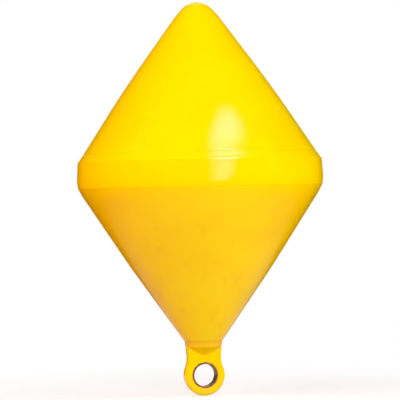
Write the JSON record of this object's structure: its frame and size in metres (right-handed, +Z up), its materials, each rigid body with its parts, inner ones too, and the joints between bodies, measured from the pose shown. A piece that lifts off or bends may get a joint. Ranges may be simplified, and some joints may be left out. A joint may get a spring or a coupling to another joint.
{
  "type": "biconical buoy",
  "caption": "Double-cone marker float with a narrow belt and, at its lower end, a flat lug with a metal-lined mooring eye.",
  "frame": {"origin": "centre of the mooring eye, halfway through the lug's thickness", "axes": "+Z up the float's axis from the mooring eye to the crown, as it floats; Y along the eye's hole, with -Y the lug face seen in the picture; X across the lug"},
  "size_m": [0.3998, 0.3998, 0.6372],
  "materials": {
    "yellow_polyethylene": "satin moulded polyethylene, coloured right through",
    "browned_steel": "dull, stained brown"
  },
  "bodies": {
    "root": {"float_hull": "yellow_polyethylene", "eye_bush": "browned_steel"}
  },
  "joints": []
}
